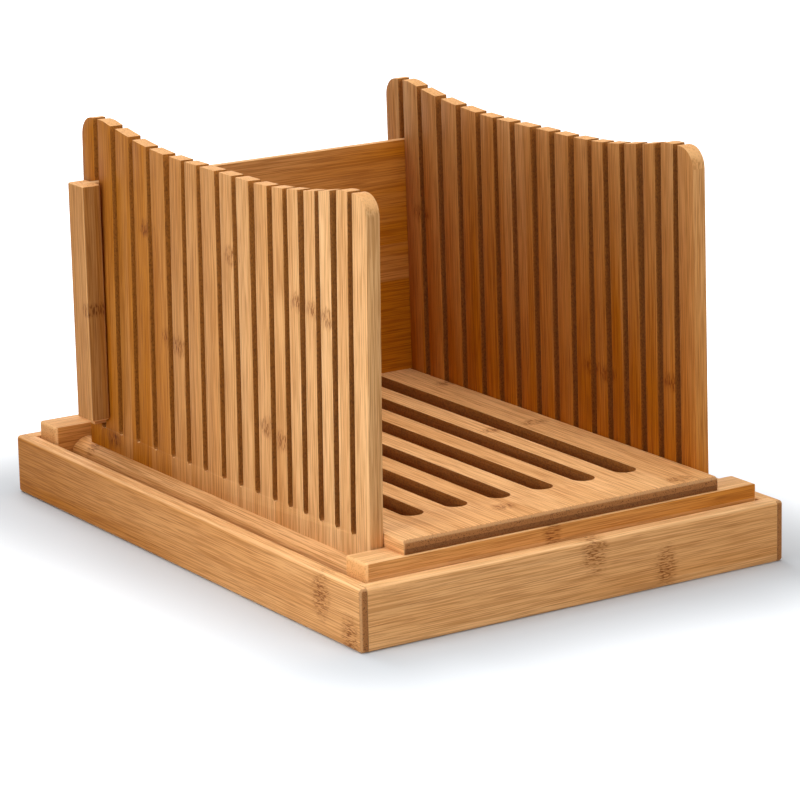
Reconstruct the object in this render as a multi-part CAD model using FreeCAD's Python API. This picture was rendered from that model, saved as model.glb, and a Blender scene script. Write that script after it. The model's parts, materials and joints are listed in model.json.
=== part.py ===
"""Folding bamboo bread slicer guide with a crumb tray.

Millimetres, +Z up, X to the right along the front, Y towards the rear.  The origin is the middle
of the tray's underside.  The slicer stands inside the tray: two battens carry a slotted cutting
board and, between them, two round rods that turn on steel pins.  A comb-shaped guide stands on
each rod.  The back plate drops into the rearmost slots, and its end bars lock the guides upright.
"""
import FreeCAD, Part
import math
import os

Vector = FreeCAD.Vector

# ---- crumb tray -----------------------------------------------------------------------------
TRAY_LENGTH = 336.0          # outside, front to rear
TRAY_WIDTH = 241.0           # outside, left to right
TRAY_HEIGHT = 30.5
TRAY_WALL = 8.0              # thickness of the four walls
TRAY_CORNER_LIP = 4.0        # end grain of a side wall left beside the rail's end
TRAY_EDGE_ROUND = 2.0        # rounding of the outer edges
TRAY_RIM_ROUND = 1.0         # rounding of the rim's inner edge
FLOOR_THICKNESS = 3.0
FLOOR_RISE = 2.5             # from the table to the floor panel's underside
FLOOR_TONGUE = 3.0           # how far the grooves for the floor panel reach into the walls
FLOOR_SLACK = 0.3            # left in each groove for the floor panel to swell

# ---- slicer base ----------------------------------------------------------------------------
BASE_CLEARANCE = 1.2         # between the battens and the tray's walls
BATTEN_WIDTH = 18.0
BATTEN_HEIGHT = 32.8
BATTEN_EDGE_ROUND = 1.8
BOARD_THICKNESS = 6.7
BOARD_SETBACK = 1.8          # board's end behind the batten's outer face
BOARD_END_ROUND = 2.4        # rounding of the front and rear top edges
BOARD_SIDE_ROUND = 0.8
CRUMB_SLOT_COUNT = 6
CRUMB_SLOT_WIDTH = 12.0
CRUMB_SLOT_PITCH = 24.5
CRUMB_SLOT_END_MARGIN = 32.0  # from the board's end to the slot's round end

# ---- screws that hold the board to the battens, driven from below ----------------------------
SCREWS_PER_BATTEN = 3
SCREW_INSET = 17.1           # outer screws' axes inside the board's side edges
SCREW_RADIUS = 2.0
SCREW_HEAD_RADIUS = 4.0
SCREW_HEAD_HEIGHT = 2.4
SCREW_LENGTH = 25.0
SCREW_COVER = 2.2            # board left above the screw's tip
SCREW_TIP = 3.0
SCREW_HOLE_CLEARANCE = 0.25
COUNTERBORE_CLEARANCE = 0.5
DRIVE_SLOT_REACH = 2.4       # cross recess, from the middle of the head
DRIVE_SLOT_WIDTH = 0.9
DRIVE_SLOT_DEPTH = 1.3

# ---- rods and pivot pins ------------------------------------------------------------------------
ROD_RADIUS = 10.0
ROD_WALL_GAP = 8.95          # between the rod and the tray's side wall
ROD_END_GAP = 1.0            # between the rod's end and the batten
ROD_END_ROUND = 0.8
PIN_RADIUS = 2.5
PIN_GROOVE_COVER = 2.0       # rod left between the pin's bore and the guide's groove
PIN_IN_ROD = 14.0
PIN_BORE_COVER = 6.5         # batten left beyond the blind bore
PIN_RUNNING_CLEARANCE = 0.05
PIN_END_CLEARANCE = 0.5
PIN_CHAMFER = 0.5

# ---- guides -----------------------------------------------------------------------------------
GUIDE_THICKNESS = 7.1
GUIDE_REACH = 179.9          # from the pivot axis to the guide's highest point
GUIDE_REAR_SETBACK = 11.0    # guide's rear end in front of the rod's rear end
GUIDE_LEAN = 0.8             # degrees inwards, where the guide rests beside the board
GUIDE_CORNER_RADIUS = 10.0
GUIDE_DIP = 8.5              # depth of the hollow in the top edge
GUIDE_DIP_FLAT = 58.0        # straight middle of the hollow
GUIDE_CREST_INSET = 22.0     # from the guide's end to the start of the hollow
GUIDE_CREST_BLEND = 25.0     # rounding where the hollow starts
KNIFE_SLOT_WIDTH = 4.5
KNIFE_SLOT_UNDERCUT = 3.5    # slot's end below the board's top
FIRST_SLOT_INSET = 14.4      # from the guide's rear end to the back plate's slot
LAST_SLOT_INSET = 12.0       # least distance from the front slot to the guide's front end
THICK_SLICE = 18.0
MEDIUM_SLICE = 16.0
THIN_SLICE = 14.0
SLICE_STEPS = (4 * [THICK_SLICE] + 2 * [MEDIUM_SLICE] + [THICK_SLICE]
               + 3 * [MEDIUM_SLICE] + 5 * [THIN_SLICE])

# ---- back plate ---------------------------------------------------------------------------------
PLATE_SLOT_CLEARANCE = 0.25  # between each face of the plate and its slot
PLATE_HEIGHT = 125.0
END_BAR_WIDTH = 10.3
END_BAR_DEPTH = 15.6
END_BAR_WALL = 4.3           # bar left outside the plate's end
END_BAR_FOOT_GAP = 3.0       # bar's lower end above the plate's lower edge
END_BAR_ROUND = 1.0
GUIDE_CLEARANCE = 0.3        # guide to end bar when upright, guide to board at its lean

# ---- aids to construction ---------------------------------------------------------------------
OVERRUN = 1.0                # how far a cutter passes the face it leaves through
TOLERANCE = 0.01             # how near a point counts as on a face

# ---- levels and places that follow ----------------------------------------------------------------
half_length = TRAY_LENGTH / 2
half_width = TRAY_WIDTH / 2
tray_inner_x = half_width - TRAY_WALL
tray_inner_y = half_length - TRAY_WALL
floor_top = FLOOR_RISE + FLOOR_THICKNESS
batten_top = floor_top + BATTEN_HEIGHT
board_top = batten_top + BOARD_THICKNESS
batten_half_length = tray_inner_x - BASE_CLEARANCE
batten_outer_y = tray_inner_y - BASE_CLEARANCE
batten_inner_y = batten_outer_y - BATTEN_WIDTH
board_half_length = batten_outer_y - BOARD_SETBACK
pivot_x = tray_inner_x - ROD_WALL_GAP - ROD_RADIUS
pivot_z = floor_top + BATTEN_HEIGHT / 2
pin_bore_depth = BATTEN_WIDTH - PIN_BORE_COVER
rod_half_length = batten_inner_y - ROD_END_GAP
groove_floor_z = pivot_z + PIN_RADIUS + PIN_GROOVE_COVER
guide_outer_x = pivot_x + GUIDE_THICKNESS / 2
guide_inner_x = pivot_x - GUIDE_THICKNESS / 2
guide_front_y = -rod_half_length
guide_rear_y = rod_half_length - GUIDE_REAR_SETBACK
guide_top = pivot_z + GUIDE_REACH
lean = math.radians(GUIDE_LEAN)
leaning_inner_x = pivot_x - GUIDE_THICKNESS / 2 / math.cos(lean) - (board_top - pivot_z) * math.tan(lean)
board_half_width = leaning_inner_x - GUIDE_CLEARANCE
plate_slot_y = guide_rear_y - FIRST_SLOT_INSET
half_plate = KNIFE_SLOT_WIDTH / 2 - PLATE_SLOT_CLEARANCE
plate_top = board_top + PLATE_HEIGHT
bar_inner_x = guide_outer_x + GUIDE_CLEARANCE
bar_outer_x = bar_inner_x + END_BAR_WIDTH
plate_end_x = bar_outer_x - END_BAR_WALL
screw_y = -(batten_inner_y + batten_outer_y) / 2
screw_tip_z = board_top - SCREW_COVER
screw_head_z = screw_tip_z - SCREW_LENGTH
screw_spacing = 2 * (board_half_width - SCREW_INSET) / (SCREWS_PER_BATTEN - 1)


def box(x0, x1, y0, y1, z0, z1):
    """A block between two opposite corners."""
    return Part.makeBox(x1 - x0, y1 - y0, z1 - z0, Vector(x0, y0, z0))


def upright_cylinder(radius, x, y, z0, z1):
    """A cylinder along Z."""
    return Part.makeCylinder(radius, z1 - z0, Vector(x, y, z0), Vector(0, 0, 1))


def lengthwise_cylinder(radius, x, z, y0, y1):
    """A cylinder along Y."""
    return Part.makeCylinder(radius, y1 - y0, Vector(x, y0, z), Vector(0, 1, 0))


def mirror_left_right(shape):
    """The same piece on the other side of the slicer."""
    return shape.mirror(Vector(0, 0, 0), Vector(1, 0, 0))


def mirror_front_rear(shape):
    """The same piece at the other end of the slicer."""
    return shape.mirror(Vector(0, 0, 0), Vector(0, 1, 0))


def spread(count, pitch):
    """Evenly spaced places, centred on zero."""
    return [(index - (count - 1) / 2) * pitch for index in range(count)]


def rounded(shape, radius, wanted=None):
    """Round the edges whose middle point passes the test, or all of them."""
    def middle(edge):
        return edge.valueAt((edge.FirstParameter + edge.LastParameter) / 2)
    edges = [edge for edge in shape.Edges if not wanted or wanted(middle(edge), edge)]
    return shape.makeFillet(radius, edges)


def runs_along(edge, axis):
    """True where a straight edge runs along the named axis."""
    if not isinstance(edge.Curve, Part.Line):
        return False
    return abs(getattr(edge.Curve.Direction, axis)) > 1 - TOLERANCE


def top_edge(axis, z):
    """A test for the edges that run along the named axis at a level."""
    return lambda point, edge: runs_along(edge, axis) and abs(point.z - z) < TOLERANCE


def save(node, shape):
    """Write one node's STEP file."""
    shape.exportStep("parts/" + node + ".step")


# ---- crumb tray -----------------------------------------------------------------------------------
def tray_frame():
    """The four walls as one rounded ring, with the floor's groove."""
    def on_rim(point, edge):
        inside = abs(point.x) < tray_inner_x + TOLERANCE and abs(point.y) < tray_inner_y + TOLERANCE
        return inside and abs(point.z - TRAY_HEIGHT) < TOLERANCE

    ring = rounded(box(-half_width, half_width, -half_length, half_length, 0, TRAY_HEIGHT), TRAY_EDGE_ROUND)
    ring = ring.cut(box(-tray_inner_x, tray_inner_x, -tray_inner_y, tray_inner_y,
                        -OVERRUN, TRAY_HEIGHT + OVERRUN))
    ring = rounded(ring, TRAY_RIM_ROUND, on_rim)
    reach_x = tray_inner_x + FLOOR_TONGUE
    reach_y = tray_inner_y + FLOOR_TONGUE
    return ring.cut(box(-reach_x, reach_x, -reach_y, reach_y, FLOOR_RISE, floor_top))


def make_tray():
    """Side walls with rebated ends, rails between their lips, and the floor panel."""
    frame = tray_frame()
    lip_x = half_width - TRAY_CORNER_LIP
    front = box(-lip_x, lip_x, -half_length, -tray_inner_y, 0, TRAY_HEIGHT)
    rails = front.fuse(mirror_front_rear(front))
    sides = frame.cut(rails)
    left_half = box(-half_width, 0, -half_length, half_length, 0, TRAY_HEIGHT)
    save("tray_left_side", sides.common(left_half))
    save("tray_right_side", sides.cut(left_half))
    save("tray_front_rail", frame.common(front))
    save("tray_rear_rail", frame.common(mirror_front_rear(front)))
    floor_x = tray_inner_x + FLOOR_TONGUE - FLOOR_SLACK
    floor_y = tray_inner_y + FLOOR_TONGUE - FLOOR_SLACK
    save("tray_floor", box(-floor_x, floor_x, -floor_y, floor_y, FLOOR_RISE, floor_top))


# ---- battens, board and screws -----------------------------------------------------------------------
def screw_body(x, widen=0.0):
    """A countersunk wood screw that points up; widen makes it the tool for its hole."""
    head = Part.makeCone(SCREW_HEAD_RADIUS + widen, SCREW_RADIUS + widen, SCREW_HEAD_HEIGHT,
                         Vector(x, screw_y, screw_head_z))
    shank = upright_cylinder(SCREW_RADIUS + widen, x, screw_y, screw_head_z, screw_tip_z - SCREW_TIP)
    tip = Part.makeCone(SCREW_RADIUS + widen, 0, SCREW_TIP, Vector(x, screw_y, screw_tip_z - SCREW_TIP))
    return head.fuse([shank, tip])


def make_screw(x):
    """One screw with its cross recess."""
    half_slot = DRIVE_SLOT_WIDTH / 2
    low = screw_head_z - OVERRUN
    high = screw_head_z + DRIVE_SLOT_DEPTH
    across = box(x - DRIVE_SLOT_REACH, x + DRIVE_SLOT_REACH, screw_y - half_slot, screw_y + half_slot,
                 low, high)
    along = box(x - half_slot, x + half_slot, screw_y - DRIVE_SLOT_REACH, screw_y + DRIVE_SLOT_REACH,
                low, high)
    return screw_body(x).cut(across.fuse(along))


def make_batten():
    """The front batten, with blind bores for the pivot pins and counterbored screw holes."""
    def eased(point, edge):
        under_board = runs_along(edge, "x") and abs(point.z - batten_top) < TOLERANCE
        return point.z > floor_top + TOLERANCE and not under_board

    batten = box(-batten_half_length, batten_half_length, -batten_outer_y, -batten_inner_y,
                 floor_top, batten_top)
    batten = rounded(batten, BATTEN_EDGE_ROUND, eased)
    for x in (-pivot_x, pivot_x):
        batten = batten.cut(lengthwise_cylinder(PIN_RADIUS + PIN_RUNNING_CLEARANCE, x, pivot_z,
                                                -batten_inner_y - pin_bore_depth, -batten_inner_y + OVERRUN))
    for x in spread(SCREWS_PER_BATTEN, screw_spacing):
        batten = batten.cut(screw_body(x, SCREW_HOLE_CLEARANCE))
        batten = batten.cut(upright_cylinder(SCREW_HEAD_RADIUS + COUNTERBORE_CLEARANCE, x, screw_y,
                                             floor_top - OVERRUN, screw_head_z + TOLERANCE))
    return batten


def make_board():
    """The cutting board, with long round-ended slots that let crumbs fall into the tray."""
    board = box(-board_half_width, board_half_width, -board_half_length, board_half_length,
                batten_top, board_top)
    board = rounded(board, BOARD_END_ROUND, top_edge("x", board_top))
    board = rounded(board, BOARD_SIDE_ROUND, top_edge("y", board_top))
    radius = CRUMB_SLOT_WIDTH / 2
    centre_y = board_half_length - CRUMB_SLOT_END_MARGIN - radius
    low = batten_top - OVERRUN
    high = board_top + OVERRUN
    for x in spread(CRUMB_SLOT_COUNT, CRUMB_SLOT_PITCH):
        ends = [upright_cylinder(radius, x, y, low, high) for y in (-centre_y, centre_y)]
        board = board.cut(box(x - radius, x + radius, -centre_y, centre_y, low, high).fuse(ends))
    for x in spread(SCREWS_PER_BATTEN, screw_spacing):
        board = board.cut(screw_body(x))
        board = board.cut(mirror_front_rear(screw_body(x)))
    return board


def make_base():
    """Both battens, the board and the two rows of screws."""
    batten = make_batten()
    save("front_batten", batten)
    save("rear_batten", mirror_front_rear(batten))
    save("cutting_board", make_board())
    screws = Part.makeCompound([make_screw(x) for x in spread(SCREWS_PER_BATTEN, screw_spacing)])
    save("front_board_screws", screws)
    save("rear_board_screws", mirror_front_rear(screws))


# ---- guides -----------------------------------------------------------------------------------------
def guide_point(y, z):
    """A point on the left guide's outer face."""
    return Vector(-guide_outer_x, y, z)


def hollow_rise(flat_y, crest_y):
    """An arc that leaves the hollow's flat middle smoothly and climbs to the crest."""
    dip_z = guide_top - GUIDE_DIP
    run = abs(crest_y - flat_y)
    way = (crest_y - flat_y) / run
    radius = (run * run + GUIDE_DIP * GUIDE_DIP) / (2 * GUIDE_DIP)
    half_angle = math.asin(run / radius) / 2
    on_arc = guide_point(flat_y + way * radius * math.sin(half_angle),
                         dip_z + radius * (1 - math.cos(half_angle)))
    return Part.Arc(guide_point(flat_y, dip_z), on_arc, guide_point(crest_y, guide_top)).toShape()


def guide_outline():
    """The guide's face, from its seat in the rod to the hollowed top edge."""
    dip_z = guide_top - GUIDE_DIP
    middle_y = (guide_front_y + guide_rear_y) / 2
    crest_front = guide_front_y + GUIDE_CREST_INSET
    crest_rear = guide_rear_y - GUIDE_CREST_INSET
    flat_front = middle_y - GUIDE_DIP_FLAT / 2
    flat_rear = middle_y + GUIDE_DIP_FLAT / 2
    edges = [
        Part.makeLine(guide_point(guide_front_y, groove_floor_z), guide_point(guide_front_y, guide_top)),
        Part.makeLine(guide_point(guide_front_y, guide_top), guide_point(crest_front, guide_top)),
        hollow_rise(flat_front, crest_front),
        Part.makeLine(guide_point(flat_front, dip_z), guide_point(flat_rear, dip_z)),
        hollow_rise(flat_rear, crest_rear),
        Part.makeLine(guide_point(crest_rear, guide_top), guide_point(guide_rear_y, guide_top)),
        Part.makeLine(guide_point(guide_rear_y, guide_top), guide_point(guide_rear_y, groove_floor_z)),
        Part.makeLine(guide_point(guide_rear_y, groove_floor_z), guide_point(guide_front_y, groove_floor_z)),
    ]
    return Part.Wire(Part.__sortEdges__(edges))


def knife_slot_places():
    """The slots' Y, from the back plate's slot forwards as far as the guide reaches."""
    places = [plate_slot_y]
    for step in SLICE_STEPS:
        if places[-1] - step >= guide_front_y + LAST_SLOT_INSET:
            places.append(places[-1] - step)
    return places


def make_upright_guide():
    """The left guide before it leans: a board cut into a comb by the knife slots."""
    at_top = top_edge("x", guide_top)

    def is_crest(point):
        return guide_front_y + TOLERANCE < point.y < guide_rear_y - TOLERANCE

    guide = Part.Face(guide_outline()).extrude(Vector(GUIDE_THICKNESS, 0, 0))
    guide = rounded(guide, GUIDE_CREST_BLEND, lambda point, edge: at_top(point, edge) and is_crest(point))
    guide = rounded(guide, GUIDE_CORNER_RADIUS,
                    lambda point, edge: at_top(point, edge) and not is_crest(point))
    radius = KNIFE_SLOT_WIDTH / 2
    end_z = board_top - KNIFE_SLOT_UNDERCUT + radius
    x0 = -guide_outer_x - OVERRUN
    x1 = -guide_inner_x + OVERRUN
    for y in knife_slot_places():
        slot = box(x0, x1, y - radius, y + radius, end_z, guide_top + OVERRUN)
        foot = Part.makeCylinder(radius, x1 - x0, Vector(x0, y, end_z), Vector(1, 0, 0))
        guide = guide.cut(slot.fuse(foot))
    return guide


def make_upright_rod():
    """The left rod, with the groove that the guide is glued into and a pin bore at each end."""
    rod = lengthwise_cylinder(ROD_RADIUS, -pivot_x, pivot_z, -rod_half_length, rod_half_length)
    rod = rounded(rod, ROD_END_ROUND, lambda point, edge: isinstance(edge.Curve, Part.Circle))
    rod = rod.cut(box(-guide_outer_x, -guide_inner_x, guide_front_y - OVERRUN, guide_rear_y,
                      groove_floor_z, pivot_z + ROD_RADIUS + OVERRUN))
    front_bore = lengthwise_cylinder(PIN_RADIUS, -pivot_x, pivot_z,
                                     -rod_half_length - OVERRUN, -rod_half_length + PIN_IN_ROD)
    return rod.cut([front_bore, mirror_front_rear(front_bore)])


def make_front_pin():
    """The left rod's front pin: fast in the rod, free to turn in the batten."""
    pin = lengthwise_cylinder(PIN_RADIUS, -pivot_x, pivot_z,
                              -batten_inner_y - pin_bore_depth + PIN_END_CLEARANCE,
                              -rod_half_length + PIN_IN_ROD)
    return pin.makeChamfer(PIN_CHAMFER, [edge for edge in pin.Edges if isinstance(edge.Curve, Part.Circle)])


def make_guides():
    """Both guides with their rods and pins, leaning in against the board."""
    front_pin = make_front_pin()
    left_pieces = {
        "guide": make_upright_guide(),
        "rod": make_upright_rod(),
        "front_pivot_pin": front_pin,
        "rear_pivot_pin": mirror_front_rear(front_pin),
    }
    for name, piece in left_pieces.items():
        piece.rotate(Vector(-pivot_x, 0, pivot_z), Vector(0, 1, 0), GUIDE_LEAN)
        save("left_" + name, piece)
        save("right_" + name, mirror_left_right(piece))


# ---- back plate ---------------------------------------------------------------------------------------
def make_back_plate():
    """The plate that stands on the board in the rearmost slots, and its grooved end bars."""
    plate = box(-plate_end_x, plate_end_x, plate_slot_y - half_plate, plate_slot_y + half_plate,
                board_top, plate_top)
    save("back_plate", plate)
    bar = box(-bar_outer_x, -bar_inner_x, plate_slot_y - END_BAR_DEPTH / 2, plate_slot_y + END_BAR_DEPTH / 2,
              board_top + END_BAR_FOOT_GAP, plate_top)
    bar = rounded(bar, END_BAR_ROUND).cut(plate)
    save("left_end_bar", bar)
    save("right_end_bar", mirror_left_right(bar))


os.makedirs("parts", exist_ok=True)
make_tray()
make_base()
make_guides()
make_back_plate()
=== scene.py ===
"""Looks of the bamboo bread slicer guide: eased and slightly bent bamboo pieces, finishes, light, camera.

Everything is in metres in the CAD frame: X to the right, Y to the rear, Z up.  Grain patterns are
written in millimetres, because bamboo's strips, fibres and node marks have a real size.
"""

import json
import math
import random
from collections import namedtuple

import bmesh
import bpy
from mathutils import Matrix, Vector

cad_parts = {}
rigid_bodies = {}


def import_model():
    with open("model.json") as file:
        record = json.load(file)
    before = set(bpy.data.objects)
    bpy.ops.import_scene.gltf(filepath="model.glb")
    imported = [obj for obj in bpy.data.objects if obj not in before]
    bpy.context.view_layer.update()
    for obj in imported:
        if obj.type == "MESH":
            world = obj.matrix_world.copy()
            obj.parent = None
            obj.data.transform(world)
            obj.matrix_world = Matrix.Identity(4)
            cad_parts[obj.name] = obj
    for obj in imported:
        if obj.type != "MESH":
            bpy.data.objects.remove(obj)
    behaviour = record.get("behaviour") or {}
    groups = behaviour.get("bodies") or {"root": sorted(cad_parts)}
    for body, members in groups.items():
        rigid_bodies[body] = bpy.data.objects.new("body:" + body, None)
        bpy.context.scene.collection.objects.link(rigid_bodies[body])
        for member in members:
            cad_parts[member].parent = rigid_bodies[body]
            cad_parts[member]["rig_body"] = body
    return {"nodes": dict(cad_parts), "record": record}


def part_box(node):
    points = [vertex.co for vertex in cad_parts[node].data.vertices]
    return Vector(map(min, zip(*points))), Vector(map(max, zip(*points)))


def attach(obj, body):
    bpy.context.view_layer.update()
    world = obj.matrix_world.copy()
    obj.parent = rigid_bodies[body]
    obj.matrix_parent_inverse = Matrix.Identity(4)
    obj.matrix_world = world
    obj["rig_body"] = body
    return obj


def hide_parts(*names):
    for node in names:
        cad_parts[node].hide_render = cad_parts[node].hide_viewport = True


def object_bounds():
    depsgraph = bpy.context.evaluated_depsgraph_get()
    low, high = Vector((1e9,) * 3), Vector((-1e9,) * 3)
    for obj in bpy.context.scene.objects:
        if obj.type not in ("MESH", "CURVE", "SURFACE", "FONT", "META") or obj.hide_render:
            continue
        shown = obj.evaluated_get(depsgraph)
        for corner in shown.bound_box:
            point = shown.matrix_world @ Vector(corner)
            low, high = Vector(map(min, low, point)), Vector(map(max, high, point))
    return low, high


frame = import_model()
cad_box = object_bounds()

MM = 0.001
AXES = "xyz"

# ---- camera, at the photograph's viewing angle ------------------------------------------------
CAMERA_PLACE = Vector((-0.9599, -1.5231, 0.5306))
CAMERA_AZIMUTH = math.radians(32.49)
CAMERA_ELEVATION = math.radians(14.515)
CAMERA_ROLL = math.radians(-1.28)
CAMERA_LENS = 167.8          # millimetres
CAMERA_SENSOR = 36.0         # millimetres

# ---- bamboo's natural sizes, in millimetres ---------------------------------------------------
STRIP_WIDTH = 20.0           # glued strips, side by side
LAYER_THICKNESS = 2.9        # glued layers, seen on narrow edges
FIBRE_SWAY = 1.2             # how far fibres wander across the grain
MARK_LENGTH = 6.0            # half a node mark, along the grain
MARK_WIDTH = 9.0             # half a node mark, across the grain

# ---- eased edges, in metres ---------------------------------------------------------------------
EASE_FINE = 0.35 * MM        # plain pieces
EASE_SLAT = 0.25 * MM        # board, and the long edges of the guides' slots
EASE_SOFT = 1.0 * MM         # the guides' other edges
EASE_SEGMENTS = 2
SHARP_ANGLE = math.radians(28)       # edges sharper than this are eased
WELD_DISTANCE = 0.002 * MM
FLAT_ANGLE = math.radians(0.5)       # faces flatter to each other than this are one face
FACES = 0.5                  # share of a normal along an axis, above which a face looks that way
RUNS = 0.9                   # share of an edge along an axis, above which it runs that way

# ---- how far sawn slats wander at their tips, in metres ------------------------------------------
SLAT_WANDER_SIDEWAYS = 0.6 * MM
SLAT_WANDER_LENGTHWISE = 0.8 * MM
SLAT_LEVEL_STEP = 9 * MM
WANDER_SEED = 7


def srgb(red, green, blue):
    """A linear colour from display values of 0 to 255."""
    def linear(value):
        value /= 255
        return value / 12.92 if value <= 0.04045 else ((value + 0.055) / 1.055) ** 2.4
    return (linear(red), linear(green), linear(blue), 1.0)


HONEY_PALE = srgb(250, 199, 141)
HONEY_DEEP = srgb(194, 117, 16)
FIBRE_TINT = (0.62, 0.50, 0.34)      # darker fibres, as a share of the ground colour
FLECK_TINT = (0.42, 0.28, 0.18)
SIDE_SHADE_TINT = (0.60, 0.60, 0.55)     # painted shade on faces that look across the grain, darker there because of how the light falls
PALE_END = srgb(232, 172, 108)
PALE_END_DOT = srgb(178, 112, 54)
DARK_END = srgb(160, 104, 56)
DARK_END_DOT = srgb(84, 46, 20)
# Slot walls: brown from sawing, made deeper as painted shade in the slots' recesses.
SAWN_SHADE_BROWN = srgb(168, 102, 36)
SAWN_SHADE_DARK = srgb(98, 54, 16)


# ---- how bamboo is drawn --------------------------------------------------------------------------
# A pattern's changes per millimetre along the grain and across it, its detail, the levels of noise
# at which it starts and is full, and how strongly it shows.
Pattern = namedtuple("Pattern", "along over detail low high strength", defaults=(0.0, 1.0, 1.0))
CLOUD = Pattern(along=0.006, over=0.07, detail=2.0, strength=0.5)
STREAK = Pattern(along=0.007, over=0.34, detail=2.0, low=0.42, high=0.74, strength=0.20)
LINE = Pattern(along=0.030, over=1.75, detail=1.0, low=0.42, high=0.62, strength=0.72)
BUNDLE = Pattern(along=0.060, over=1.70, detail=1.0, low=0.56, high=0.70, strength=0.36)
FLECK = Pattern(along=0.30, over=1.30, detail=2.0, low=0.48, high=0.60, strength=0.90)
MARK_FRAY = Pattern(along=0.12, over=0.9, detail=2.0, strength=0.9)
END_FRAY = Pattern(along=0.8, over=1.6, detail=2.0, strength=0.35)
SPECKLE = Pattern(along=0.9, over=1.3, detail=2.0, low=0.35, high=0.75, strength=0.75)
SWAY = (0.012, 0.03)         # changes per millimetre of the fibres' wander, along and across
STRIP_OFFSET = 0.37          # where a piece's first strip starts, in strips
STRIP_OFFSET_STEP = 0.21     # more for each further seed
CHANCE_SEED = 1.7
STRIP_SHIFT = (300.0, 40.0, 40.0)    # millimetres that a strip's pattern may be moved
STRIP_CONTRAST = 0.22
FADE_SPAN = 100.0            # millimetres in which a fade's change of tone happens; a fade is partly the bamboo's own tone and partly painted light and shade
LOOKS_UP = (0.5, 0.9)        # share of a normal along an axis, from none to all of an effect
LOOKS_ACROSS = (0.6, 0.9)
LOOKS_ALONG = (0.22, 0.60)
MARK_REACH = (1.55, 0.75)    # a node mark's rim and its full middle, in half mark sizes
MARK_SHADE = 0.36
DOT_SCALE = 1.3              # end-grain dots per millimetre
DOT_REACH = (0.55, 0.15)
DOT_PATCH = (0.10, 0.5)      # changes per millimetre of the dots' patches, across and in depth
DOT_PATCH_LEVELS = (0.3, 0.7)
DOT_DENSITY = (0.35, 0.55)   # least, and more in the patches
PLY_BLUR = 0.4               # millimetres
PLY_SHADE = 0.5
SAWN_SHADE_COVER = 0.86
# Eased edges go paler: partly wear from handling, partly a painted highlight where they catch the light.
EDGE_TURN = (0.97, 0.80)     # a normal's largest share along an axis, from a flat face to a fully eased edge
WEAR_AND_HIGHLIGHT_COVER = 0.30
ROUGHNESS = 0.50
LINE_ROUGHNESS = 0.14
WORN_SMOOTHING = 0.06
FIBRE_RELIEF = 0.45
BUNDLE_RELIEF = 0.5
RELIEF_HEIGHT = 0.10 * MM
RELIEF_STRENGTH = 0.6
SPECULAR_LEVEL = 0.13


# ---- materials -----------------------------------------------------------------------------------
class Shade:
    """The nodes of a material or world under construction, with short names for those used here."""

    def __init__(self, owner, surface):
        owner.use_nodes = True
        self.owner = owner
        self.tree = owner.node_tree
        self.surface = self.tree.nodes[surface]

    def add(self, kind, inputs, **settings):
        """A node with its settings made and its inputs linked or filled in."""
        node = self.tree.nodes.new(kind)
        for key, value in settings.items():
            setattr(node, key, value)
        for socket, value in inputs.items():
            self.feed(node.inputs[socket], value)
        return node

    def feed(self, socket, value):
        """Link an output to a socket, or write a plain value on it."""
        if isinstance(value, bpy.types.NodeSocket):
            self.tree.links.new(value, socket)
        else:
            socket.default_value = value

    def math(self, operation, *values):
        return self.add("ShaderNodeMath", dict(enumerate(values)), operation=operation).outputs[0]

    def plus(self, first, *others):
        for other in others:
            first = self.math("ADD", first, other)
        return first

    def times(self, first, *others):
        for other in others:
            first = self.math("MULTIPLY", first, other)
        return first

    def vector(self, operation, *values):
        return self.add("ShaderNodeVectorMath", dict(enumerate(values)), operation=operation).outputs[0]

    def scaled(self, vector, factor):
        return self.add("ShaderNodeVectorMath", {0: vector, "Scale": factor}, operation="SCALE").outputs[0]

    def joined(self, x, y, z):
        return self.add("ShaderNodeCombineXYZ", {0: x, 1: y, 2: z}).outputs[0]

    def parted(self, vector):
        return self.add("ShaderNodeSeparateXYZ", {0: vector}).outputs

    def noise(self, vector, detail=2.0):
        inputs = {"Vector": vector, "Scale": 1.0, "Detail": detail, "Roughness": 0.5}
        return self.add("ShaderNodeTexNoise", inputs).outputs[0]

    def ramp(self, value, low, high, smooth=True):
        """0 at low, 1 at high, whichever is larger."""
        inputs = {"Value": value, "From Min": low, "From Max": high}
        kind = "SMOOTHSTEP" if smooth else "LINEAR"
        return self.add("ShaderNodeMapRange", inputs, interpolation_type=kind).outputs[0]

    def blend(self, factor, first, second):
        node = self.add("ShaderNodeMix", {0: factor, 6: first, 7: second}, data_type="RGBA")
        return node.outputs[2]

    def darkened(self, factor, colour, tint):
        """The colour moved by factor towards itself times a tint."""
        return self.blend(factor, colour, self.vector("MULTIPLY", colour, tint))

    def seen_directly(self):
        """1 for rays that come from the camera, or from it through or off something shiny."""
        path = self.add("ShaderNodeLightPath", {}).outputs
        shown = self.math("MAXIMUM", path["Is Camera Ray"], path["Is Glossy Ray"])
        return self.math("MAXIMUM", shown, path["Is Transmission Ray"])


class MaterialShade(Shade):
    """The nodes of a new material."""

    def __init__(self, name):
        super().__init__(bpy.data.materials.new(name), "Principled BSDF")


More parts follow.
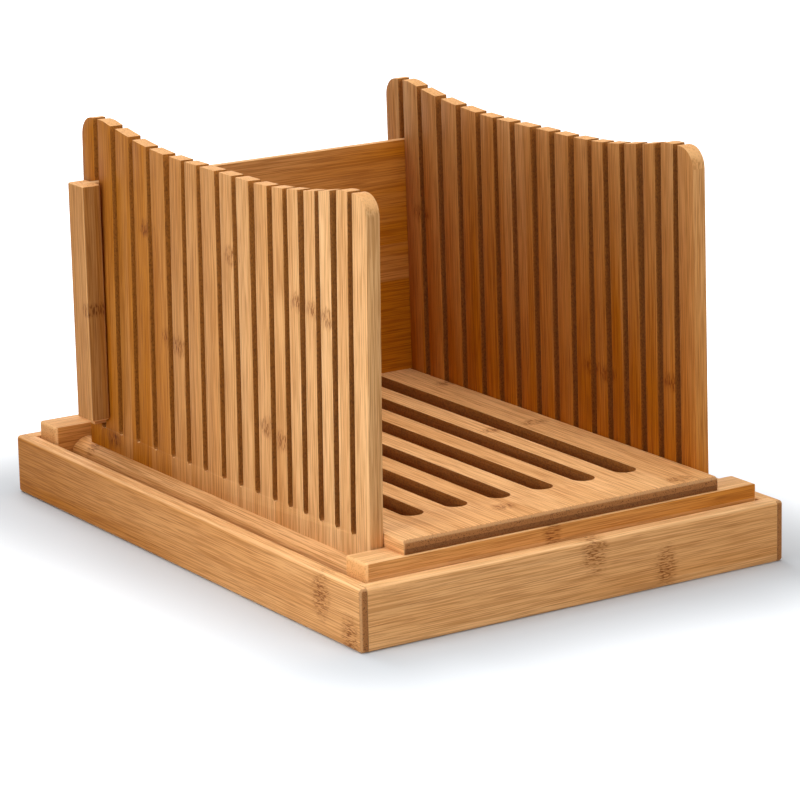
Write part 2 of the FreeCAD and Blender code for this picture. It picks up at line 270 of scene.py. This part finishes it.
class BambooShade(MaterialShade):
    """Laminated bamboo, drawn in millimetres along the grain, across it and in depth.

    middle is a point, along the grain and in depth, of the plane that depth is counted from; the
    layer there has it in its middle.  slope is how fast that plane moves in depth along the grain,
    where the piece leans.
    """

    def __init__(self, name, grain, across, seed, middle, slope, layer):
        super().__init__(name)
        depth = next(axis for axis in AXES if axis not in (grain, across))
        order = [AXES.index(axis) for axis in (grain, across, depth)]
        coordinates = self.add("ShaderNodeTexCoord", {})
        place = self.parted(self.scaled(coordinates.outputs["Object"], 1 / MM))
        facing = self.parted(coordinates.outputs["Normal"])
        self.along, self.over, depth_place = (place[index] for index in order)
        self.turned = [self.math("ABSOLUTE", facing[index]) for index in order]
        self.upward = facing[AXES.index("z")]
        lean = self.times(self.plus(self.along, -middle[0]), slope)
        self.depth = self.math("SUBTRACT", self.plus(depth_place, -middle[1]), lean)
        self.seed = seed

        # Each glued strip and layer has its own tone and its own fibres.
        offset = STRIP_OFFSET + STRIP_OFFSET_STEP * seed
        strip = self.math("FLOOR", self.plus(self.math("DIVIDE", self.over, STRIP_WIDTH), offset))
        level = self.math("FLOOR", self.plus(self.math("DIVIDE", self.depth, layer), 0.5))
        place_of_chance = self.joined(strip, level, CHANCE_SEED + seed)
        self.chance = self.add("ShaderNodeTexWhiteNoise", {0: place_of_chance}).outputs

        # Fibres wander a little across the grain.
        along, over = (self.times(value, rate) for value, rate in zip((self.along, self.over), SWAY))
        sway = self.noise(self.joined(along, over, seed))
        swayed = self.plus(self.over, self.times(self.plus(sway, -0.5), FIBRE_SWAY))
        shift = self.vector("MULTIPLY", self.chance["Color"], STRIP_SHIFT)
        self.fibre_place = self.vector("ADD", self.joined(self.along, swayed, self.depth), shift)

    def fibres(self, pattern):
        """Noise drawn out along the grain, about 0.5."""
        rates = (pattern.along, pattern.over, pattern.over)
        return self.noise(self.vector("MULTIPLY", self.fibre_place, rates), pattern.detail)

    def swing(self, pattern):
        """Fibres about zero, as strong as the pattern says."""
        return self.times(self.plus(self.fibres(pattern), -0.5), pattern.strength)

    def shown(self, pattern, fibres):
        """How much of a pattern shows where its fibres have some level."""
        return self.ramp(fibres, pattern.low, pattern.high)

    def strips(self, tone, fade, painted_top_light, painted_side_shade):
        """Ground colour: 0 is pale, 1 is deep.

        fade is the change in FADE_SPAN along, across and through the piece, partly the bamboo's own
        tone and partly painted light and shade; crown is a painted top light, how much paler the faces
        are that look up; narrow is a painted side shade, how far the faces that look across the grain
        go towards SIDE_SHADE_TINT.
        """
        place = (self.along, self.over, self.depth)
        # The fade: partly the bamboo's own tone, partly painted light and shade, deeper away from the
        # light.
        run = self.plus(*(self.times(value, change / FADE_SPAN) for value, change in zip(place, fade)))
        own = self.times(self.plus(self.chance["Value"], -0.5), STRIP_CONTRAST)
        # Painted top light: faces that look up are paler.
        top = self.times(self.ramp(self.upward, *LOOKS_UP), -painted_top_light)
        level = self.plus(own, self.swing(CLOUD), run, tone, top)
        ground = self.blend(self.ramp(level, 0.0, 1.0, smooth=False), HONEY_PALE, HONEY_DEEP)
        # Painted shade: faces that look across the grain are darker.
        sideways = self.ramp(self.turned[1], *LOOKS_ACROSS)
        return self.darkened(self.times(sideways, painted_side_shade), ground, SIDE_SHADE_TINT)

    def fibred(self, colour, contrast):
        """Streaks, fine fibre lines and short dark bundles."""
        self.streak = self.fibres(STREAK)
        self.line = self.fibres(LINE)
        self.bundle = self.shown(BUNDLE, self.fibres(BUNDLE))
        streaks = self.times(self.shown(STREAK, self.streak), STREAK.strength * contrast)
        lines = self.times(self.shown(LINE, self.line), LINE.strength * contrast)
        bundles = self.times(self.bundle, BUNDLE.strength * contrast)
        colour = self.darkened(streaks, colour, FIBRE_TINT)
        colour = self.darkened(lines, colour, FIBRE_TINT)
        return self.darkened(bundles, colour, FLECK_TINT)

    def marked(self, colour, marks):
        """Node marks: a cluster of dark flecks across one strip.

        Each is its place along the grain and across it and, where it isn't 1, how many times the
        usual size it is.
        """
        on_face = self.vector("MULTIPLY", self.joined(self.along, self.over, 0.0),
                              (1 / MARK_LENGTH, 1 / MARK_WIDTH, 0.0))
        nearest = None
        for along, over, *size in marks:
            centre = (along / MARK_LENGTH, over / MARK_WIDTH, 0.0)
            distance = self.add("ShaderNodeVectorMath", {0: on_face, 1: centre}, operation="DISTANCE")
            distance = self.math("DIVIDE", distance.outputs["Value"], *(size or [1.0]))
            nearest = distance if nearest is None else self.math("MINIMUM", nearest, distance)
        ragged = self.plus(nearest, self.times(self.fibres(MARK_FRAY), MARK_FRAY.strength))
        mark = self.ramp(ragged, *MARK_REACH)
        flecks = self.shown(FLECK, self.fibres(FLECK))
        colour = self.darkened(self.times(mark, MARK_SHADE), colour, FIBRE_TINT)
        return self.darkened(self.times(mark, flecks, FLECK.strength), colour, FLECK_TINT)

    def ended(self, colour, ground, dot, ply_step):
        """End grain, where the face looks along the fibres: bundles as dark dots.

        ply_step is the depth below which a darker ply begins, or None.
        """
        section = {"Vector": self.joined(0.0, self.over, self.depth), "Scale": DOT_SCALE}
        dots = self.ramp(self.add("ShaderNodeTexVoronoi", section).outputs["Distance"], *DOT_REACH)
        over, depth = (self.times(value, rate) for value, rate in zip((self.over, self.depth), DOT_PATCH))
        patch = self.ramp(self.noise(self.joined(self.seed, over, depth)), *DOT_PATCH_LEVELS)
        least, more = DOT_DENSITY
        end = self.blend(self.times(dots, self.plus(least, self.times(patch, more))), ground, dot)
        if ply_step is not None:
            below = self.ramp(self.depth, ply_step, ply_step - PLY_BLUR)
            end = self.blend(self.times(below, PLY_SHADE), end, dot)
        mask = self.plus(self.turned[0], self.swing(END_FRAY))
        return self.blend(self.ramp(mask, *LOOKS_ALONG), colour, end)

    def sawn_and_shaded(self, colour):
        """Saw-rough walls: brown, with torn speckles, and darker as painted shade in the slots."""
        speckle = self.times(self.shown(SPECKLE, self.fibres(SPECKLE)), SPECKLE.strength)
        return self.blend(SAWN_SHADE_COVER, colour, self.blend(speckle, SAWN_SHADE_BROWN, SAWN_SHADE_DARK))

    def worn_and_highlit(self, colour):
        """Handled edges are paler: partly wear, partly a painted highlight where eased edges catch the
        light.
        """
        flattest = self.math("MAXIMUM", self.math("MAXIMUM", *self.turned[:2]), self.turned[2])
        self.edge = self.ramp(flattest, *EDGE_TURN)
        return self.blend(self.times(self.edge, WEAR_AND_HIGHLIGHT_COVER), colour, HONEY_PALE)

    def done(self, colour, edge=None):
        """Satin surface with the fibres felt as relief, and smoother on eased edges, which handling wears.
        """
        roughness = self.plus(ROUGHNESS, self.times(self.line, LINE_ROUGHNESS))
        if edge:
            roughness = self.math("SUBTRACT", roughness, self.times(edge, WORN_SMOOTHING))
        raised = self.times(self.plus(self.line, self.streak), FIBRE_RELIEF)
        relief = self.math("SUBTRACT", raised, self.times(self.bundle, BUNDLE_RELIEF))
        bump = {"Height": relief, "Distance": RELIEF_HEIGHT, "Strength": RELIEF_STRENGTH}
        self.surface.inputs["Specular IOR Level"].default_value = SPECULAR_LEVEL
        self.feed(self.surface.inputs["Base Color"], colour)
        self.feed(self.surface.inputs["Roughness"], roughness)
        self.feed(self.surface.inputs["Normal"], self.add("ShaderNodeBump", bump).outputs[0])
        return self.owner


def bamboo(name, grain, across, seed, tone, marks=(), ends="pale", contrast=1.0, fade=(0.0, 0.0, 0.0),
           painted_top_light=0.0, painted_side_shade=0.0, rough_sawn=False, round_piece=False, middle=(0.0, 0.0), slope=0.0,
           layer=LAYER_THICKNESS, ply_step=None):
    """A finish of laminated bamboo for one piece.

    grain is the axis that the fibres run along, and across the one that the strips lie along.
    """
    shade = BambooShade(name, grain, across, seed, middle, slope, layer)
    colour = shade.fibred(shade.strips(tone, fade, painted_top_light, painted_side_shade), contrast)
    if marks:
        colour = shade.marked(colour, marks)
    ground, dot = (DARK_END, DARK_END_DOT) if ends == "dark" else (PALE_END, PALE_END_DOT)
    colour = shade.ended(colour, ground, dot, ply_step)
    if rough_sawn:
        return shade.done(shade.sawn_and_shaded(colour))
    if round_piece:
        return shade.done(colour)
    colour = shade.worn_and_highlit(colour)
    return shade.done(colour, shade.edge)


STEEL_BRIGHT = srgb(196, 198, 200)
STEEL_DULL = srgb(150, 150, 148)
STEEL_PATCH_SCALE = 0.4      # dull patches per millimetre
STEEL_PATCH_LEVELS = (0.35, 0.7)
TURNING_SCALE = (0.3, 5.0, 5.0)      # changes of the turning marks per millimetre, along X, Y, Z
TURNING_HEIGHT = 0.03 * MM
TURNING_STRENGTH = 0.4
STEEL_ROUGHNESS = (0.28, 0.25)       # least, and more in the patches


def zinc_steel():
    """Zinc-plated steel with fine turning marks and dull patches."""
    shade = MaterialShade("zinc_steel")
    coordinates = shade.add("ShaderNodeTexCoord", {})
    place = shade.scaled(coordinates.outputs["Object"], 1 / MM)
    patches = shade.noise(shade.scaled(place, STEEL_PATCH_SCALE), detail=3.0)
    rings = shade.noise(shade.vector("MULTIPLY", place, TURNING_SCALE), detail=1.0)
    colour = shade.blend(shade.ramp(patches, *STEEL_PATCH_LEVELS), STEEL_BRIGHT, STEEL_DULL)
    bump = {"Height": rings, "Distance": TURNING_HEIGHT, "Strength": TURNING_STRENGTH}
    least, more = STEEL_ROUGHNESS
    shade.surface.inputs["Metallic"].default_value = 1.0
    shade.feed(shade.surface.inputs["Base Color"], colour)
    shade.feed(shade.surface.inputs["Roughness"], shade.plus(least, shade.times(patches, more)))
    shade.feed(shade.surface.inputs["Normal"], shade.add("ShaderNodeBump", bump).outputs[0])
    return shade.owner


# ---- eased pieces --------------------------------------------------------------------------------
def welded(node):
    """A CAD node's shape with one vertex per corner and one face per flat."""
    shape = bmesh.new()
    shape.from_mesh(frame["nodes"][node].data)
    bmesh.ops.remove_doubles(shape, verts=shape.verts, dist=WELD_DISTANCE)
    bmesh.ops.dissolve_limit(shape, angle_limit=FLAT_ANGLE, verts=shape.verts, edges=shape.edges)
    return shape


def cut_level(shape, level):
    """Add a loop of edges all round the shape at one level."""
    everything = shape.verts[:] + shape.edges[:] + shape.faces[:]
    bmesh.ops.bisect_plane(shape, geom=everything, plane_co=(0, 0, level), plane_no=(0, 0, 1))


def finished(shape, node, ease, materials, sawn_shaded_face=None, soft_edge=None):
    """The dressed piece that stands for a node: eased edges, even shading, its finishes.

    Edges that pass soft_edge are eased by EASE_SOFT, and the other sharp ones by ease.
    """
    weights = shape.edges.layers.float.new("bevel_weight_edge")
    for edge in shape.edges:
        if edge.calc_face_angle(0.0) > SHARP_ANGLE:
            edge[weights] = 1.0 if soft_edge and soft_edge(edge) else ease / EASE_SOFT
    for face in shape.faces:
        face.smooth = True
        face.material_index = 1 if sawn_shaded_face and sawn_shaded_face(face) else 0
    mesh = bpy.data.meshes.new(node + "_bamboo")
    shape.to_mesh(mesh)
    shape.free()
    for material in materials:
        mesh.materials.append(material)
    piece = bpy.data.objects.new(node + "_bamboo", mesh)
    bpy.context.scene.collection.objects.link(piece)
    bevel = piece.modifiers.new("ease", "BEVEL")
    bevel.width = EASE_SOFT
    bevel.segments = EASE_SEGMENTS
    bevel.limit_method = "WEIGHT"
    bevel.harden_normals = True
    bevel.miter_outer = "MITER_ARC"
    evaluated = piece.evaluated_get(bpy.context.evaluated_depsgraph_get())
    piece.data = bpy.data.meshes.new_from_object(evaluated)
    piece.modifiers.clear()
    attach(piece, frame["nodes"][node]["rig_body"])
    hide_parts(node)


def middle_depth(node, grain, across):
    """The middle of a piece's thickness, in millimetres."""
    axis = next(axis for axis in AXES if axis not in (grain, across))
    low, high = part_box(node)
    return (low[AXES.index(axis)] + high[AXES.index(axis)]) / (2 * MM)


# ---- pieces whose shape is the CAD's, with eased edges ---------------------------------------------
# A node mark is its place along and across, in millimetres, with its size where that isn't the
# usual one.
PLAIN_CONTRAST = 0.9
# Fades are partly the bamboo's own tone and partly painted light, deeper towards the rear or the right,
# away from the light.
PLAIN_PIECES = {
    "tray_left_side": dict(grain="y", across="z", tone=0.60, fade=(0.12, 0.0, 0.0), painted_top_light=0.45, ends="dark",
                           marks=[(-134, 20, 1.5), (-159, 5, 1.5)]),
    "tray_right_side": dict(grain="y", across="z", tone=0.55, fade=(0.1, 0.0, 0.0), painted_top_light=0.3, ends="dark",
                            marks=[(-70, 20), (95, 6)]),
    "tray_front_rail": dict(grain="x", across="z", tone=0.42, fade=(0.05, 0.0, 0.0), painted_top_light=0.9, ends="dark",
                            marks=[(9, 25, 1.5), (50, 10, 1.3)]),
    "tray_rear_rail": dict(grain="x", across="z", tone=0.60, painted_top_light=0.3, ends="dark",
                           marks=[(-30, 22), (74, 9)]),
    "tray_floor": dict(grain="y", across="x", tone=0.70, ends="dark",
                       marks=[(-90, -50), (20, 30), (110, 70)]),
    "front_batten": dict(grain="x", across="z", tone=0.72, fade=(0.08, 0.0, 0.0), painted_top_light=0.75,
                         marks=[(-9, 36), (70, 20)]),
    "rear_batten": dict(grain="x", across="z", tone=0.80, painted_top_light=0.5, marks=[(-60, 30), (40, 14)]),
    "left_end_bar": dict(grain="z", across="y", tone=0.72, painted_top_light=0.4, painted_side_shade=1.0, marks=[(106, 107, 0.7)]),
    "right_end_bar": dict(grain="z", across="y", tone=0.70, painted_top_light=0.4, painted_side_shade=1.0,
                          marks=[(140, 110), (85, 116)]),
    # The back plate's deep tone and its fade, paler upwards and deeper to the right, are partly painted
    # shade between the guides.
    "back_plate": dict(grain="x", across="z", tone=0.94, fade=(0.3, -0.2, 0.0), painted_top_light=0.6,
                       marks=[(-52, 150), (38, 92)]),
}
for seed, (node, look) in enumerate(PLAIN_PIECES.items()):
    middle = (0.0, middle_depth(node, look["grain"], look["across"]))
    finish = bamboo(node + "_finish", seed=seed, contrast=PLAIN_CONTRAST, middle=middle, **look)
    finished(welded(node), node, EASE_FINE, [finish])

# ---- cutting board: crumb slots have sawn walls, darkened as painted shade --------------------------
BOARD_MARKS = [(-137, -21), (-20, 78), (-20, 52), (74, 87), (-149, 72), (38, -62), (-64, -40), (95, 10)]
BOARD_SEED = 11
BOARD_TOP_LAYER = 3.7        # millimetres
SLOT_REGION_INSET = 12 * MM
board_low, board_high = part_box("cutting_board")


def in_crumb_slot(face):
    """True on the walls of the board's long slots."""
    centre = face.calc_center_median()
    inside = all(low + SLOT_REGION_INSET < value < high - SLOT_REGION_INSET
                 for low, value, high in zip(board_low[:2], centre[:2], board_high[:2]))
    return inside and abs(face.normal.z) < FACES


# The top layer is the lower half of one that has the board's top in its middle.
board_look = dict(grain="y", across="x", seed=BOARD_SEED, tone=0.26,
                  middle=(0.0, board_high.z / MM), layer=2 * BOARD_TOP_LAYER)
board_finishes = [bamboo("cutting_board_finish", marks=BOARD_MARKS, ends="dark",
                         ply_step=-BOARD_TOP_LAYER, **board_look),
                  bamboo("cutting_board_sawn", rough_sawn=True, **board_look)]
finished(welded("cutting_board"), "cutting_board", EASE_SLAT, board_finishes, in_crumb_slot)

# ---- guides: slats that wander a little, as sawn bamboo does ------------------------------------------
END_ZONE = 5 * MM            # a guide's front and rear ends, where no slot is
SLOT_FOOT_DROP = 3 * MM      # below the board's top, where the slats start to bend
# painted top light on the guides' faces that look up
GUIDE_TOP_LIGHT = 0.45
STRAIGHT_SLATS = (0, -1, -2)         # the front one, and the two at the back plate
LEANS = {"left": 1, "right": -1}
GUIDE_SEEDS = {"left": 21, "right": 22}
# Partly painted light and shade: the right guide's deeper tone and its fade paler upwards stand for the
# left guide's shadow on it; the fades in depth make both guides' inner faces deeper, as painted shade
# between them; the left one's fade along is deeper towards the rear, partly its own tone and partly painted
# light.
GUIDE_LOOKS = {
    "left": dict(tone=0.79, fade=(0.0, 0.33, 4.0), painted_side_shade=0.45,
                 marks=[(154, 64), (154, -19), (102, 44), (100, 34), (143, -80), (142, -94), (140, -106),
                        (77, -50), (73, -63), (38, 104)]),
    "right": dict(tone=1.04, fade=(-0.28, 0.0, -4.0), marks=[(79, -55), (78, -68), (84, -121), (132, 98)]),
}
plate_low, plate_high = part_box("back_plate")
knife_slots = sorted(
    [(opening["box_m"][0][1] + opening["box_m"][1][1]) / 2
     for opening in frame["record"]["physics"]["openings"] if opening["name"].startswith("knife_slot")]
    + [(plate_low.y + plate_high.y) / 2])
slot_foot = board_high.z - SLOT_FOOT_DROP
pivots = {joint["name"]: joint for joint in frame["record"]["behaviour"]["joints"]}


def wander_slats(shape, high, seed):
    """Bend each slat a little more towards its tip, apart from those that stay straight."""
    chance = random.Random(seed)
    tips = [(chance.uniform(-1, 1) * SLAT_WANDER_SIDEWAYS, chance.uniform(-1, 1) * SLAT_WANDER_LENGTHWISE)
            for slat in range(len(knife_slots) + 1)]
    for slat in STRAIGHT_SLATS:
        tips[slat] = (0.0, 0.0)
    for vertex in shape.verts:
        rise = (vertex.co.z - slot_foot) / (high.z - slot_foot)
        if rise > 0:
            slat = sum(vertex.co.y > place for place in knife_slots)
            vertex.co.x += tips[slat][0] * rise ** 2
            vertex.co.y += tips[slat][1] * rise ** 2


def make_guide(side):
    """One guide: its comb with loops to bend at, wandering slats, saw-rough slot walls with painted shade.
    """
    node = side + "_guide"
    seed = GUIDE_SEEDS[side]
    pivot = pivots[node + "_pivot"]
    low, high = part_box(node)
    shape = welded(node)
    level = slot_foot + SLAT_LEVEL_STEP
    while level < high.z:
        cut_level(shape, level)
        level += SLAT_LEVEL_STEP
    wander_slats(shape, high, WANDER_SEED + seed)

    def in_knife_slot(face):
        centre = face.calc_center_median()
        return abs(face.normal.y) > FACES and low.y + END_ZONE < centre.y < high.y - END_ZONE

    def soft(edge):
        """All edges but the long ones of the slots."""
        sideways = abs((edge.verts[1].co - edge.verts[0].co).normalized().x) > RUNS
        return sideways or not any(in_knife_slot(face) for face in edge.link_faces)

    look = dict(GUIDE_LOOKS[side], grain="z", across="y", seed=seed, painted_top_light=GUIDE_TOP_LIGHT,
                middle=(pivot["pos_m"][2] / MM, pivot["pos_m"][0] / MM),
                slope=LEANS[side] * math.tan(math.radians(pivot["range_deg"][1])))
    sawn_shaded_look = dict(look, marks=(), rough_sawn=True)
    finished(shape, node, EASE_SLAT,
             [bamboo(node + "_finish", **look), bamboo(node + "_sawn", **sawn_shaded_look)],
             in_knife_slot, soft)


for side in GUIDE_LOOKS:
    make_guide(side)

# ---- rods ------------------------------------------------------------------------------------------
ROD_MARKS = {"left_rod": [(122, -96)], "right_rod": [(-40, 98), (90, 95)]}
# The rods' fade is partly their own tone and partly painted light, deeper towards the rear.
ROD_LOOK = dict(grain="y", across="x", tone=0.42, fade=(0.12, 0.0, 0.0), round_piece=True)
ROD_FIRST_SEED = 31
for seed, (node, marks) in enumerate(ROD_MARKS.items(), start=ROD_FIRST_SEED):
    finish = bamboo(node + "_finish", seed=seed, marks=marks, **ROD_LOOK)
    finished(welded(node), node, EASE_FINE, [finish])

# ---- steel: screws and pivot pins keep their CAD shape -----------------------------------------------
steel = zinc_steel()
for name, node in frame["nodes"].items():
    if name.endswith(("screws", "pin")):
        node.data.materials.clear()
        node.data.materials.append(steel)

# ---- floor, light and camera ------------------------------------------------------------------------
FLOOR_HALF = 6.0
FLOOR_SHADE = (0.61, 0.64, 0.67, 1.0)
FLOOR_ROUGHNESS = 0.9
WHITE = (1.0, 1.0, 1.0, 1.0)
FADE_START = 0.0             # metres from the model's outline, where the floor starts to glow to white for the camera and where it is white; nearer, its unglowing grey is a painted shadow around the model, besides its real one
FADE_END = 0.17              # and where it is white
WORLD_LIGHT = 0.20
SOFTBOXES = {
    # name: (place, target, size, watts)
    "rear_high": ((0.0, 1.2, 1.3), (0.0, 0.0, 0.08), 1.0, 14.0),
    "overhead": ((0.0, 0.0, 1.6), (0.0, 0.0, 0.0), 1.2, 12.5),
    "front": ((0.1, -1.5, 0.85), (0.0, 0.0, 0.10), 0.8, 9.0),
    "left_near": ((-0.43, -0.15, 0.20), (-0.12, -0.12, 0.08), 0.15, 0.80),
}


def make_floor():
    """A pale grey floor that keeps the object's shadow; seen directly it glows to white away from the
    model's outline, so its grey near the outline is a painted shadow.
    """
    shape = bmesh.new()
    bmesh.ops.create_grid(shape, x_segments=1, y_segments=1, size=FLOOR_HALF)
    mesh = bpy.data.meshes.new("floor")
    shape.to_mesh(mesh)
    shape.free()
    floor = bpy.data.objects.new("floor", mesh)
    bpy.context.scene.collection.objects.link(floor)
    shade = MaterialShade("floor_finish")
    coordinates = shade.add("ShaderNodeTexCoord", {})
    outline = [max(abs(low), abs(high)) for low, high in zip(*cad_box)]
    beyond = shade.vector("SUBTRACT", shade.vector("ABSOLUTE", coordinates.outputs["Object"]),
                          (outline[0], outline[1], 0.0))
    beyond = shade.vector("MAXIMUM", beyond, (0.0, 0.0, 0.0))
    away = shade.add("ShaderNodeVectorMath", {0: beyond}, operation="LENGTH").outputs["Value"]
    glow_past_painted_shadow = shade.ramp(away, FADE_START, FADE_END)
    shade.surface.inputs["Base Color"].default_value = FLOOR_SHADE
    shade.surface.inputs["Roughness"].default_value = FLOOR_ROUGHNESS
    shade.surface.inputs["Specular IOR Level"].default_value = 0.0
    shade.surface.inputs["Emission Color"].default_value = WHITE
    shade.feed(shade.surface.inputs["Emission Strength"], shade.times(glow_past_painted_shadow, shade.seen_directly()))
    mesh.materials.append(shade.owner)


def make_world():
    """Even white light, behind which the camera sees white."""
    shade = Shade(bpy.data.worlds.new("studio"), "Background")
    shade.surface.inputs["Color"].default_value = WHITE
    strength = shade.plus(WORLD_LIGHT, shade.times(shade.seen_directly(), 1 - WORLD_LIGHT))
    shade.feed(shade.surface.inputs["Strength"], strength)
    bpy.context.scene.world = shade.owner


def make_softbox(name, place, target, size, watts):
    """A large square lamp that looks at a point."""
    lamp = bpy.data.lights.new(name, "AREA")
    lamp.shape = "SQUARE"
    lamp.size = size
    lamp.energy = watts
    softbox = bpy.data.objects.new(name, lamp)
    softbox.location = place
    softbox.visible_camera = False
    softbox.rotation_euler = (Vector(target) - Vector(place)).to_track_quat("-Z", "Y").to_euler()
    bpy.context.scene.collection.objects.link(softbox)


def make_camera():
    """The photograph's viewpoint."""
    forward = Vector((math.sin(CAMERA_AZIMUTH) * math.cos(CAMERA_ELEVATION),
                      math.cos(CAMERA_AZIMUTH) * math.cos(CAMERA_ELEVATION),
                      -math.sin(CAMERA_ELEVATION)))
    level = Vector((math.cos(CAMERA_AZIMUTH), -math.sin(CAMERA_AZIMUTH), 0))
    down = forward.cross(level)
    across = math.cos(CAMERA_ROLL) * level - math.sin(CAMERA_ROLL) * down
    down = math.sin(CAMERA_ROLL) * level + math.cos(CAMERA_ROLL) * down
    lens = bpy.data.cameras.new("camera")
    lens.lens = CAMERA_LENS
    lens.sensor_width = CAMERA_SENSOR
    camera = bpy.data.objects.new("camera", lens)
    turn = Matrix((across, -down, -forward)).transposed().to_4x4()
    camera.matrix_world = Matrix.Translation(CAMERA_PLACE) @ turn
    bpy.context.scene.collection.objects.link(camera)
    bpy.context.scene.camera = camera


make_floor()
make_world()
for name, settings in SOFTBOXES.items():
    make_softbox(name, *settings)
make_camera()
bpy.context.scene.view_settings.view_transform = "Standard"
